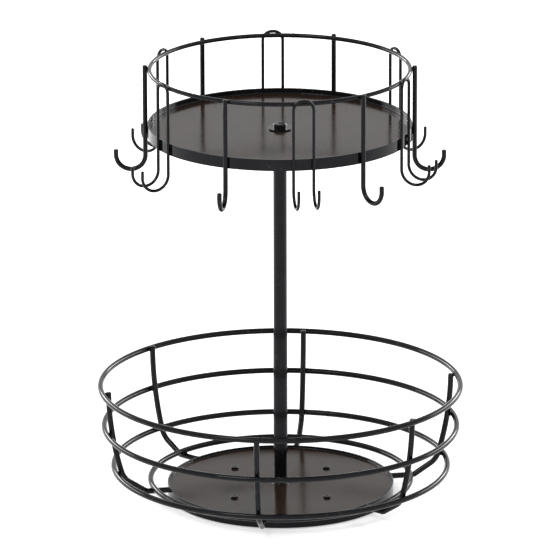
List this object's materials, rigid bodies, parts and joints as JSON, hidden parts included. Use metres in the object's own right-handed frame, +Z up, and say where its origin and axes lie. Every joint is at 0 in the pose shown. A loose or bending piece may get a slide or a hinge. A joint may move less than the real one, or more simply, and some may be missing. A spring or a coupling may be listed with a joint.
{
  "type": "cup holder rack",
  "caption": "Round wire rack for mugs, spoons and coffee pods: a wire basket below and a railed tray on a centre post above, turning together on a low stand.",
  "frame": {"origin": "on the turning axis, at the level of the table that the rubber feet stand on", "axes": "+Z is up along the turning axis, -Y is the front that the picture shows, +X is to its right"},
  "size_m": [0.2885, 0.2884, 0.3517],
  "materials": {
    "coated_wire": "satin black powder coat",
    "tray_gloss": "glossy black-brown enamel",
    "zinc_steel": "bright zinc plate",
    "bearing_steel": "polished balls",
    "rubber": "matt black rubber"
  },
  "bodies": {
    "stand": {"stand_plate": "coated_wire", "rubber_feet": "rubber", "lower_race": "zinc_steel", "lower_race_rivets": "zinc_steel"},
    "cage": {"ball_cage": "zinc_steel", "bearing_balls": "bearing_steel"},
    "carousel": {"upper_race": "zinc_steel", "upper_race_screws": "coated_wire", "pivot_bush": "zinc_steel", "pivot_washer": "zinc_steel", "pivot_bolt": "zinc_steel", "basket_hoop": "coated_wire", "basket_floor": "tray_gloss", "basket_upright_1": "coated_wire", "basket_upright_2": "coated_wire", "basket_upright_3": "coated_wire", "basket_upright_4": "coated_wire", "basket_upright_5": "coated_wire", "basket_upright_6": "coated_wire", "basket_base_ring": "coated_wire", "basket_low_ring": "coated_wire", "basket_middle_ring": "coated_wire", "basket_top_ring": "coated_wire", "post_foot_plug": "zinc_steel", "post_lower_tube": "coated_wire", "post_coupler": "zinc_steel", "post_upper_tube": "coated_wire", "post_head_plug": "zinc_steel", "tray_hoop": "coated_wire", "tray_floor": "tray_gloss", "tray_washer": "coated_wire", "tray_screw": "coated_wire", "rail_ring": "coated_wire", "mug_hook_1": "coated_wire", "mug_hook_2": "coated_wire", "mug_hook_3": "coated_wire", "mug_hook_4": "coated_wire", "mug_hook_5": "coated_wire", "mug_hook_6": "coated_wire", "spoon_hook_1": "coated_wire", "spoon_hook_2": "coated_wire", "spoon_hook_3": "coated_wire", "spoon_hook_4": "coated_wire", "spoon_hook_5": "coated_wire", "spoon_hook_6": "coated_wire"}
  },
  "joints": [
    {"name": "carousel_spin", "type": "hinge", "parent": "stand", "child": "carousel", "pos_m": [0, 0, 0], "axis": [0, 0, 1], "continuous": true},
    {"name": "cage_spin", "type": "hinge", "parent": "stand", "child": "cage", "pos_m": [0, 0, 0], "axis": [0, 0, 1], "continuous": true}
  ],
  "couplings": [
    {"joint": "cage_spin", "follows": "carousel_spin", "ratio": 0.5}
  ]
}
